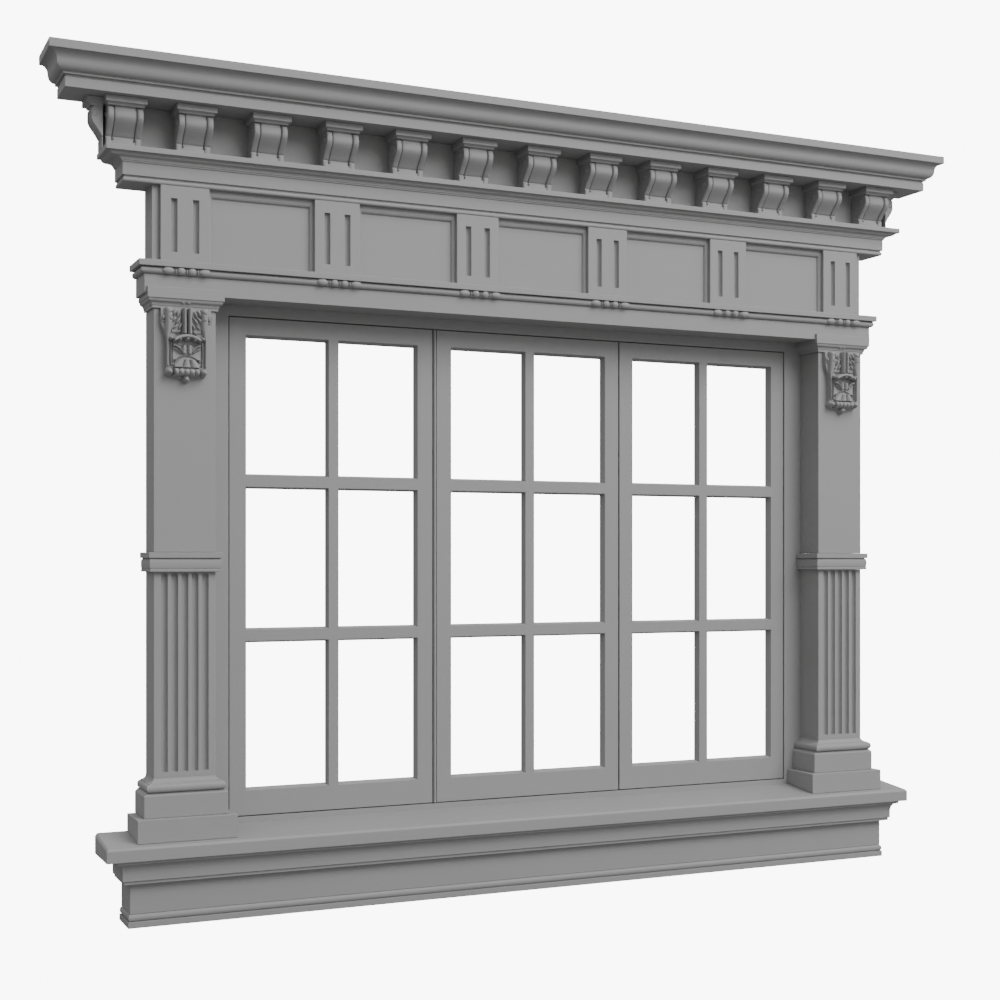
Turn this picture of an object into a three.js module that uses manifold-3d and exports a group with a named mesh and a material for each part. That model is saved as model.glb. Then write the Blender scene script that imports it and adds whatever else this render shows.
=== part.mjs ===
// A classical window surround in painted joinery: a sill on a moulded apron, two pilasters
// with acanthus corbels, three fixed sashes between them, and a full entablature with a
// triglyph frieze and a bracketed cornice.
//
// Millimetres, +Z up, front towards -Y. The wall's face is the plane y = 0, and the origin is
// the middle of the apron board's back, on that plane. "front" always means the distance from
// the wall's face, and "half" a half width.

import * as THREE from 'three';
import { mergeVertices } from 'three/addons/utils/BufferGeometryUtils.js';
import Module from 'manifold-3d';

const wasm = await Module();
wasm.setup();

// Driving dimensions

const clearance = 0.3; // gap left between pieces that touch
const arrisSlope = 0.6; // rise of every step in a moulding
const cutMargin = 5; // how far a cutting shape runs past the face it cuts
const quirk = 2; // step between a flat band and the curve above it
const lip = 3; // step between a curve and the fillet above it

// Sashes: two panes wide and three high, chamfered towards the glass
const paneWidth = 243.5;
const topPaneHeight = 400;
const middlePaneHeight = 410;
const bottomPaneHeight = 426;
const stileWidth = 56;
const topRailHeight = 57;
const bottomRailHeight = 80;
const glazingBarWidth = 41;
const glazingBarHeight = 43.5;
const sashChamfer = 13;
const barChamfer = 8;
const chamferDepth = 10;
const rebateWidth = 5;
const rebateDepth = 11;
const sashThickness = 34;
const sashSet = 4; // how far the sashes' faces lie behind the wall's face
const sashGap = 3; // between the sashes and the frame
const meetingGap = 4.5; // between the middle and the right sash
const beadGap = 2.5; // each side of the mullion bead
const mullionBeadWidth = 9;
const mullionBeadReach = 6;

// Frame that holds the sashes in the wall's opening
const casingWidth = 65;
const frameHeadHeight = 31;
const frameFootHeight = 16;
const frameLap = 20; // behind the pilasters, the architrave and the sill
const frameDepth = 42;

// Apron and sill
const apronBoardHeight = 86;
const apronBoardFront = 120;
const apronOverhang = 69; // past the shaft's outer side
const apronBeadHeight = 20;
const apronBeadRound = 7;
const apronFilletHeight = 18;
const apronFilletStep = 6;
const underSillHeight = 68;
const underSillFillet = 10;
const underSillStep = 14;
const underSillQuirk = 6;
const underSillTop = 8;
const underSillReach = 42;
const sillFaceHeight = 34;
const sillBevel = 6;
const sillRise = 19;
const sillFront = 175;
const sillOverhang = 74; // past the apron's end

// Pilasters
const shaftWidth = 176;
const shaftFront = 105;
const lowerPlinthHeight = 66;
const lowerPlinthStep = 53; // how much wider than the shaft, each side
const lowerPlinthFront = 146;
const upperPlinthHeight = 71;
const upperPlinthStep = 31;
const upperPlinthFront = 126;
const plinthBevel = 9;
const baseMouldingHeight = 38.5;
const baseTorusHeight = 22;
const baseTorusRound = 7;
const baseFilletHeight = 2.5;
const baseMouldingStep = 25;
const lowerShaftHeight = 576;
const bandHeight = 55;
const bandFilletHeight = 16;
const bandFootHeight = 8;
const bandGrooveHeight = 3;
const bandGrooveDepth = 7;
const bandBulge = 2.5;
const bandStep = 17;
const bandFootStep = 14;
const capitalHeight = 40;
const capitalFilletHeight = 13;
const capitalFootHeight = 8;
const capitalFootStep = 6;
const capitalStep = 21;
const capitalLip = 10; // how far its top fillet rises in front of the architrave

// Flutes of the lower shafts
const fluteCount = 5;
const flutePitch = 29;
const fluteWidth = 19;
const fluteDepth = 8;
const fluteTopMargin = 3;
const fluteFootMargin = 14.5;

// Entablature, from the bottom up
const architraveHeight = 53.5;
const architraveFront = 116;
const architraveOverhang = 28.5; // past the shaft's outer side
const torusHeight = 20;
const torusRound = 9;
const taeniaHeight = 17.5;
const taeniaStep = 18;
const friezeHeight = 215;
const friezeFront = 94;
const friezeOverhang = 3;
const metopeDepth = 9;
const metopeCove = 11;
const metopeMargin = 0.5;
const triglyphCount = 6;
const triglyphWidth = 139;
const triglyphThickness = 14;
const grooveWidth = 18;
const grooveDepth = 9;
const grooveOffset = 31; // from the triglyph's middle to a groove's middle
const grooveTopMargin = 26;
const grooveFootMargin = 22;
const bedFront = 113;
const bedOverhang = 85; // past the frieze's end
const bedRoundHeight = 12;
const bedGrooveHeight = 5;
const bedGrooveDepth = 6;
const bedCymaLip = 11;
const bedFilletHeight = 4;
const bedFasciaHeight = 36;
const bedCymaHeight = 24;
const shelfHeight = 15;
const shelfStep = 29;
const shelfOverhang = 50;
const modillionHeight = 142;
const courseFront = 17;
const courseInset = 5; // from the shelf's end to the end of the wall behind the brackets
const coronaHeight = 28;
const coronaFront = 135;
const coronaOverhang = 109; // past the shelf's end
const crownFilletHeight = 7;
const crownCoveHeight = 6;
const crownCymaHeight = 48;
const crownTopHeight = 24.5;
const crownFilletStep = 6;
const crownReach = 49; // from the corona's face to the crown's
const crownTopStep = 5;
const crownSteps = 10;

// Modillion brackets under the corona
const modillionCount = 13;
const modillionWidth = 99;
const modillionCapOverhang = 8;
const modillionCapHeight = 24;
const modillionCapFillet = 17;
const modillionRibWidth = 17;
const modillionRibSlope = 3;
const modillionRibHeight = 5;
const modillionFootEase = 6; // from the foot block's top to where the S starts
const modillionSweepRungs = 7;
const modillionOuterGap = 198; // between the middles of the last two brackets at each end
// footHeight is the foot block's height, and sweepTop where the S above it ends.
const sideModillionWidth = 62;
const frontBracket = {
  width: modillionWidth, capFront: 95, bellyFront: 84, footFront: 31, footHeight: 50, sweepTop: 95,
  throatDepth: 5, ribHeight: 5,
};
const sideBracket = {
  width: sideModillionWidth, capFront: 46, bellyFront: 34, footFront: 4.5, footHeight: 28, sweepTop: 82,
  throatDepth: 1, ribHeight: 2,
};

// Acanthus corbels on the upper shafts
const corbelHeight = 207;
const corbelTopWidth = 142;
const corbelWaistWidth = 110;
const corbelBallWidth = 120;
const corbelDropWidth = 28;
const corbelDepth = 44; // of the hood, the carving's highest part
const corbelEdge = 5;
const corbelAcross = 20; // faces across and down the carving
const corbelDown = 32;

const curveSteps = 6;
const flareSteps = 4;
const roundSteps = 6;

const paint = { color: 0x8f8f8f, roughness: 0.72, metalness: 0 };

// Levels and widths that follow from them

const apronTop = apronBoardHeight / 2;
const apronBoardFoot = -apronBoardHeight / 2;
const apronBeadFoot = apronBoardFoot - apronBeadHeight;
const apronFoot = apronBeadFoot - apronFilletHeight;
const sillFoot = apronTop + underSillHeight;
const sillTopFront = sillFoot + sillFaceHeight + sillBevel;
const sillTopBack = sillTopFront + sillRise;

const sashWidth = 2 * stileWidth + 2 * paneWidth + glazingBarWidth;
const paneHeights = [bottomPaneHeight, middlePaneHeight, topPaneHeight];
const panesHeight = bottomPaneHeight + middlePaneHeight + topPaneHeight;
const sashHeight = bottomRailHeight + topRailHeight + 2 * glazingBarHeight + panesHeight;
const beadSpace = mullionBeadWidth + 2 * beadGap;
const sashesWidth = 3 * sashWidth + beadSpace + meetingGap + 2 * sashGap;
const openingFoot = sillTopBack + frameFootHeight;
const sashFoot = openingFoot + sashGap;
const openingTop = sashFoot + sashHeight + sashGap;

const pilasterX = sashesWidth / 2 + casingWidth + shaftWidth / 2;
const pilasterOuter = pilasterX + shaftWidth / 2;
const architraveFoot = openingTop + frameHeadHeight;
const architraveTop = architraveFoot + architraveHeight;
const friezeFoot = architraveTop + torusHeight + taeniaHeight;
const friezeTop = friezeFoot + friezeHeight;
const bedHeight = bedRoundHeight + bedGrooveHeight + bedFasciaHeight + bedCymaHeight;
const shelfTop = friezeTop + bedHeight + shelfHeight;
const coronaFoot = shelfTop + modillionHeight;
const crownFoot = coronaFoot + coronaHeight;
const crownTop = crownFoot + crownCoveHeight + crownFilletHeight + crownCymaHeight + crownTopHeight;

const apronHalf = pilasterOuter + apronOverhang;
const sillHalf = apronHalf + sillOverhang;
const architraveHalf = pilasterOuter + architraveOverhang;
const friezeHalf = pilasterOuter + friezeOverhang;
const bedHalf = friezeHalf + bedOverhang;
const shelfHalf = bedHalf + shelfOverhang;
const courseHalf = shelfHalf - courseInset;
const coronaHalf = shelfHalf + coronaOverhang;

// Shapes

const at = (front, half, z, zBack = z) => ({ front, half, z, zBack });

// The curves below join two levels a (lower) and b (upper). Each is a pair of shares, of the way
// out and of the way up, for t from 0 to 1.
const quarter = Math.PI / 2;
const cavetto = (t) => [1 - Math.cos(t * quarter), Math.sin(t * quarter)];
const ovolo = (t) => [Math.sin(t * quarter), 1 - Math.cos(t * quarter)];

function cymaRecta(t) {
  const [out, up] = t < 0.5 ? ovolo(2 * t) : cavetto(2 * t - 1);
  return t < 0.5 ? [out / 2, up / 2] : [0.5 + out / 2, 0.5 + up / 2];
}

function cymaReversa(t) {
  const [out, up] = t < 0.5 ? cavetto(2 * t) : ovolo(2 * t - 1);
  return t < 0.5 ? [out / 2, up / 2] : [0.5 + out / 2, 0.5 + up / 2];
}

function curve(shape, a, b, steps = curveSteps) {
  return Array.from({ length: steps + 1 }, (_, i) => {
    const [out, up] = shape(i / steps);
    return at(a.front + (b.front - a.front) * out, a.half + (b.half - a.half) * out, a.z + (b.z - a.z) * up);
  });
}

// A half round that bulges by `round` between two levels of the same projection.
function torus(front, half, foot, top, round) {
  return Array.from({ length: roundSteps + 1 }, (_, i) => {
    const angle = (Math.PI * i) / roundSteps;
    const bulge = round * Math.sin(angle);
    return at(front + bulge, half + bulge, foot + ((top - foot) * (1 - Math.cos(angle))) / 2);
  });
}

function meshData(positions, triangles) {
  const geometry = new THREE.BufferGeometry();
  geometry.setAttribute('position', new THREE.Float32BufferAttribute(positions, 3));
  geometry.setIndex(triangles);
  return geometry;
}

// Joins rings of equally many points, each listed anticlockwise as seen from the last ring.
function stackRings(rings) {
  const count = rings[0].length;
  const triangles = [];
  for (let i = 0; i + 1 < rings.length; i++) {
    for (let j = 0; j < count; j++) {
      const next = (j + 1) % count;
      const [a, b] = [i * count + j, i * count + next];
      triangles.push(a, b, b + count, a, b + count, a + count);
    }
  }
  const lastStart = (rings.length - 1) * count;
  for (const [ring, start, isLast] of [[rings[0], 0, false], [rings.at(-1), lastStart, true]]) {
    const [u, v] = capAxes(ring);
    const contour = ring.map((p) => new THREE.Vector2(p[u], p[v]));
    const turn = Math.sign(THREE.ShapeUtils.area(contour));
    for (const [a, b, c] of THREE.ShapeUtils.triangulateShape(contour, [])) {
      const sameTurn = Math.sign(THREE.ShapeUtils.area([contour[a], contour[b], contour[c]])) === turn;
      triangles.push(start + a, ...(sameTurn === isLast ? [start + b, start + c] : [start + c, start + b]));
    }
  }
  return meshData(rings.flat(2), triangles);
}

// The two coordinates in which a ring is widest.
function capAxes(ring) {
  const spans = [0, 1, 2].map((k) => Math.max(...ring.map((p) => p[k])) - Math.min(...ring.map((p) => p[k])));
  const thin = spans.indexOf(Math.min(...spans));
  return [0, 1, 2].filter((k) => k !== thin);
}

// A block against the wall whose front and two ends follow the same list of levels.
function returnedBlock(levels, centreX = 0) {
  const eased = [];
  for (const level of levels) {
    const last = eased.at(-1);
    const same = last && Math.abs(last.z - level.z) + Math.abs(last.front - level.front) < 1e-6;
    if (same) continue;
    const lift = last ? Math.max(0, last.z + arrisSlope - level.z) : 0;
    eased.push(at(level.front, level.half, level.z + lift, level.zBack + lift));
  }
  return stackRings(
    eased.map(({ front, half, z, zBack }) => [
      [centreX - half, 0, zBack],
      [centreX - half, -front, z],
      [centreX + half, -front, z],
      [centreX + half, 0, zBack],
    ]),
  );
}

function box(x0, x1, y0, y1, z0, z1) {
  const geometry = new THREE.BoxGeometry(x1 - x0, y1 - y0, z1 - z0);
  return geometry.translate((x0 + x1) / 2, (y0 + y1) / 2, (z0 + z1) / 2);
}

function toSolid(geometry) {
  const plain = geometry.clone();
  plain.deleteAttribute('normal');
  plain.deleteAttribute('uv');
  const merged = mergeVertices(plain);
  const vertProperties = new Float32Array(merged.attributes.position.array);
  const triVerts = new Uint32Array(merged.index.array);
  return new wasm.Manifold(new wasm.Mesh({ numProp: 3, vertProperties, triVerts }));
}

function toGeometry(solid) {
  const { vertProperties, triVerts } = solid.getMesh();
  return meshData(vertProperties, [...triVerts]);
}

function cut(geometry, cutters) {
  return toGeometry(cutters.reduce((rest, cutter) => rest.subtract(toSolid(cutter)), toSolid(geometry)));
}

function join(...geometries) {
  return toGeometry(geometries.map(toSolid).reduce((sum, solid) => sum.add(solid)));
}

// Apron and sill

function apronBoard() {
  return returnedBlock([
    at(apronBoardFront, apronHalf, apronBoardFoot + clearance),
    at(apronBoardFront, apronHalf, apronTop),
  ]);
}

function apronFootMoulding() {
  const filletHalf = apronHalf + apronFilletStep;
  const filletFront = apronBoardFront + apronFilletStep;
  return returnedBlock([
    at(filletFront, filletHalf, apronFoot),
    at(filletFront, filletHalf, apronBeadFoot),
    ...torus(apronBoardFront - quirk, apronHalf - quirk, apronBeadFoot, apronBoardFoot, apronBeadRound),
  ]);
}

function underSill() {
  const filletTop = apronTop + underSillFillet;
  const coveTop = sillFoot - underSillTop;
  const filletFront = apronBoardFront + underSillStep;
  const filletHalf = apronHalf + underSillStep;
  const top = at(apronBoardFront + underSillReach, apronHalf + underSillReach, coveTop);
  return returnedBlock([
    at(filletFront, filletHalf, apronTop + clearance),
    at(filletFront, filletHalf, filletTop),
    ...curve(cavetto, at(filletFront - underSillQuirk, filletHalf - underSillQuirk, filletTop), top),
    at(top.front + lip, top.half + lip, coveTop),
    at(top.front + lip, top.half + lip, sillFoot),
  ]);
}

function sill() {
  return returnedBlock([
    at(sillFront, sillHalf, sillFoot + clearance),
    at(sillFront, sillHalf, sillTopFront - sillBevel),
    at(sillFront - sillBevel, sillHalf - sillBevel, sillTopFront, sillTopBack),
  ]);
}

// The sill's top falls towards the front; this is its height at a distance from the wall.
function sillTopAt(front) {
  return sillTopBack - (sillRise * front) / (sillFront - sillBevel);
}

// Window

// The frame stands in the wall's opening, behind the wall's face, and laps behind the surround.
function windowFrame() {
  const half = sashesWidth / 2;
  const outerHalf = half + casingWidth + frameLap;
  const outer = box(
    -outerHalf, outerHalf,
    clearance, frameDepth,
    sillTopBack - frameLap, architraveFoot + frameLap,
  );
  const opening = box(-half, half, clearance - cutMargin, frameDepth + cutMargin, openingFoot, openingTop);
  return cut(outer, [opening]);
}

// One pane's opening, as rings from front to back: a chamfer, the straight part and the rebate.
function paneCutter(x0, x1, z0, z1, edges) {
  const ring = (y, grow) => {
    const { left, right, foot, top } = grow;
    return [
      [x0 - left, y, z0 - foot],
      [x0 - left, y, z1 + top],
      [x1 + right, y, z1 + top],
      [x1 + right, y, z0 - foot],
    ];
  };
  const scaled = (share) => ({
    left: edges.left * share, right: edges.right * share, foot: edges.foot * share, top: edges.top * share,
  });
  const even = (by) => ({ left: by, right: by, foot: by, top: by });
  const past = 1 + cutMargin / chamferDepth;
  const back = sashSet + sashThickness;
  const rings = [
    ring(sashSet - cutMargin, scaled(past)),
    ring(sashSet + chamferDepth, even(0)),
    ring(back - rebateDepth, even(0)),
    ring(back - rebateDepth + arrisSlope, even(rebateWidth)),
    ring(back + cutMargin, even(rebateWidth)),
  ];
  return stackRings(rings);
}

function sash() {
  const cutters = [];
  for (const column of [0, 1]) {
    let foot = bottomRailHeight;
    paneHeights.forEach((height, row) => {
      const x0 = stileWidth + column * (paneWidth + glazingBarWidth);
      const edges = {
        left: column === 0 ? sashChamfer : barChamfer,
        right: column === 1 ? sashChamfer : barChamfer,
        foot: row === 0 ? sashChamfer : barChamfer,
        top: row === paneHeights.length - 1 ? sashChamfer : barChamfer,
      };
      cutters.push(paneCutter(x0, x0 + paneWidth, foot, foot + height, edges));
      foot += height + glazingBarHeight;
    });
  }
  return cut(box(0, sashWidth, sashSet, sashSet + sashThickness, 0, sashHeight), cutters);
}

function mullionBead() {
  const arc = Array.from({ length: roundSteps + 1 }, (_, i) => {
    const angle = Math.PI * (i / roundSteps);
    return [(-mullionBeadWidth / 2) * Math.cos(angle), sashSet - mullionBeadReach * Math.sin(angle)];
  });
  const back = sashSet + sashThickness;
  const section = [[-mullionBeadWidth / 2, back], ...arc, [mullionBeadWidth / 2, back]];
  return stackRings([0, sashHeight].map((z) => section.map(([x, y]) => [x, y, z])));
}

// Pilasters, each piece about its own middle line

const shaftHalf = shaftWidth / 2;
const lowerPlinthTop = sillTopAt(lowerPlinthFront) + lowerPlinthHeight;
const upperPlinthTop = lowerPlinthTop + upperPlinthHeight;
const lowerShaftFoot = upperPlinthTop + baseMouldingHeight;
const bandFoot = lowerShaftFoot + lowerShaftHeight;
const upperShaftFoot = bandFoot + bandHeight;
const capitalFoot = architraveFoot - clearance - capitalHeight;

function lowerPlinth() {
  const half = shaftHalf + lowerPlinthStep;
  return returnedBlock([
    at(lowerPlinthFront, half, sillTopAt(lowerPlinthFront) + clearance, sillTopBack + clearance),
    at(lowerPlinthFront, half, lowerPlinthTop),
  ]);
}

function upperPlinth() {
  const half = shaftHalf + upperPlinthStep;
  return returnedBlock([
    at(upperPlinthFront, half, lowerPlinthTop + clearance),
    at(upperPlinthFront, half, upperPlinthTop - plinthBevel),
    at(upperPlinthFront - plinthBevel, half - plinthBevel, upperPlinthTop),
  ]);
}

function baseMoulding() {
  const torusTop = upperPlinthTop + baseTorusHeight;
  const filletTop = torusTop + baseFilletHeight;
  const inner = baseMouldingStep - baseTorusRound;
  const flare = inner - quirk;
  return returnedBlock([
    ...torus(shaftFront + inner, shaftHalf + inner, upperPlinthTop + clearance, torusTop, baseTorusRound),
    at(shaftFront + flare, shaftHalf + flare, torusTop),
    ...curve(
      ovolo,
      at(shaftFront + flare, shaftHalf + flare, filletTop),
      at(shaftFront, shaftHalf, lowerShaftFoot),
      flareSteps,
    ),
  ]);
}

function shaft(foot, top) {
  return returnedBlock([at(shaftFront, shaftHalf, foot), at(shaftFront, shaftHalf, top)]);
}

function flute(x) {
  const arc = Array.from({ length: roundSteps + 1 }, (_, i) => {
    const angle = Math.PI * (i / roundSteps);
    return [x + (fluteWidth / 2) * Math.cos(angle), -shaftFront + fluteDepth * Math.sin(angle)];
  });
  const front = -shaftFront - cutMargin;
  const section = [[x - fluteWidth / 2, front], [x + fluteWidth / 2, front], ...arc];
  const ends = [lowerShaftFoot + fluteFootMargin, bandFoot - fluteTopMargin];
  return stackRings(ends.map((z) => section.map(([px, py]) => [px, py, z])));
}

function lowerShaft() {
  const middle = (fluteCount - 1) / 2;
  const flutes = Array.from({ length: fluteCount }, (_, i) => flute((i - middle) * flutePitch));
  return cut(shaft(lowerShaftFoot + clearance, bandFoot), flutes);
}

function shaftBand() {
  const filletFoot = upperShaftFoot - bandFilletHeight;
  const grooveFoot = filletFoot - bandGrooveHeight;
  const footTop = bandFoot + bandFootHeight;
  const inner = bandStep - bandGrooveDepth;
  const field = bandFootStep - quirk;
  return returnedBlock([
    at(shaftFront + bandFootStep, shaftHalf + bandFootStep, bandFoot + clearance),
    at(shaftFront + bandFootStep, shaftHalf + bandFootStep, footTop),
    ...torus(shaftFront + field, shaftHalf + field, footTop, grooveFoot, bandBulge),
    at(shaftFront + inner, shaftHalf + inner, grooveFoot),
    at(shaftFront + inner, shaftHalf + inner, filletFoot),
    at(shaftFront + bandStep, shaftHalf + bandStep, filletFoot),
    at(shaftFront + bandStep, shaftHalf + bandStep, upperShaftFoot),
  ]);
}

// The capital's top fillet stands in front of the architrave and rises over its foot.
function capital() {
  const footTop = capitalFoot + capitalFootHeight;
  const filletFoot = capitalFoot + capitalHeight - capitalFilletHeight;
  const inner = capitalFootStep + quirk;
  const outer = capitalStep - lip;
  const block = returnedBlock([
    at(shaftFront + capitalFootStep, shaftHalf + capitalFootStep, capitalFoot + clearance),
    at(shaftFront + capitalFootStep, shaftHalf + capitalFootStep, footTop),
    ...curve(
      cymaReversa,
      at(shaftFront + inner, shaftHalf + inner, footTop),
      at(shaftFront + outer, shaftHalf + outer, filletFoot),
    ),
    at(shaftFront + capitalStep, shaftHalf + capitalStep, filletFoot),
    at(shaftFront + capitalStep, shaftHalf + capitalStep, architraveFoot + capitalLip),
  ]);
  const past = shaftHalf + capitalStep + cutMargin;
  const seat = capitalFoot + capitalHeight;
  return cut(block, [
    box(-past, past, -architraveFront - clearance, cutMargin, seat, seat + capitalLip + cutMargin),
  ]);
}

// Acanthus corbel: a relief over a shaped outline, u across (-1 to 1) and v down (0 to 1)

const bump = (x, centre, width) => Math.exp(-(((x - centre) / width) ** 2));
const blend = (from, to, x) => {
  const t = Math.min(1, Math.max(0, (x - from) / (to - from)));
  return t * t * (3 - 2 * t);
};

function corbelHalf(v) {
  const rails = corbelTopWidth + (corbelWaistWidth - corbelTopWidth) * blend(0.15, 0.46, v);
  const ballPart = (corbelBallWidth - corbelWaistWidth) * bump(v, 0.86, 0.05);
  const withDrop = rails + ballPart - (rails + ballPart - corbelDropWidth) * blend(0.9, 0.95, v);
  return (withDrop / 2) * (1 - 0.45 * blend(0.96, 1, v));
}

function corbelRelief(u, v) {
  const side = Math.abs(u);
  const leafSweep = v * 9 - side * 3.2;
  const lobes = 0.5 + 0.5 * Math.cos(2 * Math.PI * leafSweep);
  const rail = bump(side, 0.88, 0.13) * (0.62 - 0.25 * blend(0, 0.75, v)) * (1 - blend(0.8, 0.86, v));
  const volute = bump(side, 0.84, 0.16) * bump(v, 0.06, 0.07) * 0.2;
  const stem = bump(side, 0.08, 0.06) * 0.5 * (1 - blend(0.32, 0.4, v));
  const upperLeaf = bump(side, 0.45, 0.26) * (0.3 + 0.16 * lobes) * (1 - blend(0.3, 0.42, v));
  const hoodArc = 0.42 + 0.1 * u * u;
  const hood = bump(v, hoodArc, 0.055) * (1 - blend(0.62, 0.8, side)) * 0.95;
  const lowerLeaf = (1 - blend(0.55, 0.8, side)) * bump(v, 0.64, 0.13) * (0.42 + 0.16 * lobes);
  const midRib = bump(u, 0, 0.07) * bump(v, 0.64, 0.12) * 0.22;
  const gadroons = 0.75 + 0.25 * Math.abs(Math.cos(2.5 * Math.PI * u));
  const roll = bump(v, 0.86, 0.052) * gadroons * 0.62 * (1 - blend(0.72, 0.8, side));
  const balls = bump(v, 0.86, 0.06) * bump(side, 0.9, 0.14) * 0.7;
  const drop = bump(v, 0.95, 0.05) * bump(u, 0, 0.75) * 0.4 * blend(0.9, 0.94, v);
  const carved = Math.max(rail + volute, stem, upperLeaf, hood, lowerLeaf + midRib, roll, balls, drop, 0.1);
  return corbelEdge + (corbelDepth - corbelEdge) * carved;
}

function corbel() {
  const back = -shaftFront - clearance;
  const top = capitalFoot - clearance;
  const columns = corbelAcross + 1;
  const positions = [];
  for (let j = 0; j <= corbelDown; j++) {
    for (let i = 0; i <= corbelAcross; i++) {
      const [u, v] = [(2 * i) / corbelAcross - 1, j / corbelDown];
      positions.push(u * corbelHalf(v), back - corbelRelief(u, v), top - v * corbelHeight);
    }
  }
  const triangles = [];
  for (let j = 0; j < corbelDown; j++) {
    for (let i = 0; i < corbelAcross; i++) {
      const a = j * columns + i;
      triangles.push(a, a + columns, a + 1, a + 1, a + columns, a + columns + 1);
    }
  }
  // The rim runs clockwise as seen from the front, so the side faces look outwards.
  const rim = [];
  for (let i = 0; i < corbelAcross; i++) rim.push(i);
  for (let j = 0; j < corbelDown; j++) rim.push(j * columns + corbelAcross);
  for (let i = corbelAcross; i > 0; i--) rim.push(corbelDown * columns + i);
  for (let j = corbelDown; j > 0; j--) rim.push(j * columns);
  const start = positions.length / 3;
  for (const k of rim) positions.push(positions[3 * k], back, positions[3 * k + 2]);
  rim.forEach((k, i) => {
    const next = (i + 1) % rim.length;
    triangles.push(k, rim[next], start + next, k, start + next, start + i);
  });
  // The flat back is a fan of strips between the left and the right edge.
  const rightOf = (j) => start + corbelAcross + j;
  const leftOf = (j) => (j === 0 ? start : start + 2 * corbelAcross + 2 * corbelDown - j);
  for (let j = 0; j < corbelDown; j++) {
    if (j > 0 && j < corbelDown - 1) {
      triangles.push(leftOf(j), rightOf(j), rightOf(j + 1), leftOf(j), rightOf(j + 1), leftOf(j + 1));
    }
  }
  for (let i = 0; i < corbelAcross; i++) triangles.push(start + i, start + i + 1, leftOf(1));
  triangles.push(rightOf(0), rightOf(1), leftOf(1));
  const footStart = start + corbelAcross + corbelDown;
  for (let i = 0; i < corbelAcross; i++) triangles.push(footStart + i, footStart + i + 1, rightOf(corbelDown - 1));
  triangles.push(leftOf(corbelDown), leftOf(corbelDown - 1), rightOf(corbelDown - 1));
  return meshData(positions, triangles);
}

// Entablature

function architrave() {
  return returnedBlock([
    at(architraveFront, architraveHalf, architraveFoot),
    at(architraveFront, architraveHalf, architraveTop),
  ]);
}

function taeniaMoulding() {
  const torusTop = architraveTop + torusHeight;
  return returnedBlock([
    ...torus(architraveFront + quirk, architraveHalf + quirk, architraveTop + clearance, torusTop, torusRound),
    at(architraveFront + taeniaStep, architraveHalf + taeniaStep, torusTop),
    at(architraveFront + taeniaStep, architraveHalf + taeniaStep, friezeFoot),
  ]);
}

const triglyphPitch = (2 * pilasterX) / (triglyphCount - 1);
const triglyphX = (i) => -pilasterX + i * triglyphPitch;

// A metope is sunk in the frieze, with a cove along its top and sides, and runs down to the taenia.
function metopeCutter(x0, x1) {
  const ring = (inset, y) => [
    [x0 + inset, y, friezeFoot - cutMargin],
    [x0 + inset, y, friezeTop - metopeCove - inset],
    [x1 - inset, y, friezeTop - metopeCove - inset],
    [x1 - inset, y, friezeFoot - cutMargin],
  ];
  const rings = [ring(0, -friezeFront - cutMargin)];
  for (let i = 0; i <= 3; i++) {
    const angle = (quarter * i) / 3;
    rings.push(ring(metopeCove * Math.sin(angle), -friezeFront + metopeDepth * (1 - Math.cos(angle)) + 0.01));
  }
  return stackRings(rings);
}

function frieze() {
  const block = returnedBlock([
    at(friezeFront, friezeHalf, friezeFoot + clearance),
    at(friezeFront, friezeHalf, friezeTop),
  ]);
  const metopes = [];
  for (let i = 0; i + 1 < triglyphCount; i++) {
    const reach = triglyphWidth / 2 + metopeMargin;
    metopes.push(metopeCutter(triglyphX(i) + reach, triglyphX(i + 1) - reach));
  }
  return cut(block, metopes);
}

function triglyph() {
  const back = -friezeFront - clearance;
  const front = back - triglyphThickness;
  const block = box(-triglyphWidth / 2, triglyphWidth / 2, front, back, friezeFoot + clearance, friezeTop);
  const groove = (x) => {
    const section = [
      [x - grooveWidth / 2, front - cutMargin],
      [x + grooveWidth / 2, front - cutMargin],
      [x + grooveWidth / 2, front],
      [x + grooveWidth / 4, front + grooveDepth * 0.8],
      [x, front + grooveDepth],
      [x - grooveWidth / 4, front + grooveDepth * 0.8],
      [x - grooveWidth / 2, front],
    ];
    const ends = [friezeFoot + grooveFootMargin, friezeTop - grooveTopMargin];
    return stackRings(ends.map((z) => section.map(([px, py]) => [px, py, z])));
  };
  return cut(block, [groove(-grooveOffset), groove(grooveOffset)]);
}

function bedMoulding() {
  const roundTop = friezeTop + bedRoundHeight;
  const fasciaFoot = roundTop + bedGrooveHeight;
  const fasciaTop = fasciaFoot + bedFasciaHeight;
  const filletTop = fasciaTop + bedFilletHeight;
  const shelfFoot = fasciaTop + bedCymaHeight;
  const shelfFront = bedFront + shelfStep;
  const round = bedRoundHeight / 3;
  const foot = at(bedFront + lip + quirk, bedHalf + lip + quirk, filletTop);
  const top = at(shelfFront - bedCymaLip, shelfHalf - bedCymaLip, shelfFoot);
  return returnedBlock([
    at(bedFront - bedGrooveDepth, bedHalf - bedGrooveDepth, friezeTop + clearance),
    at(bedFront - quirk, bedHalf - quirk, friezeTop + round),
    at(bedFront - quirk, bedHalf - quirk, roundTop - round),
    at(bedFront - bedGrooveDepth, bedHalf - bedGrooveDepth, roundTop),
    at(bedFront - bedGrooveDepth, bedHalf - bedGrooveDepth, fasciaFoot),
    at(bedFront, bedHalf, fasciaFoot),
    at(bedFront, bedHalf, fasciaTop),
    at(bedFront + lip, bedHalf + lip, fasciaTop),
    at(bedFront + lip, bedHalf + lip, filletTop),
    ...curve(cymaReversa, foot, top),
    at(shelfFront, shelfHalf, shelfFoot),
    at(shelfFront, shelfHalf, shelfTop),
  ]);
}

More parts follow.
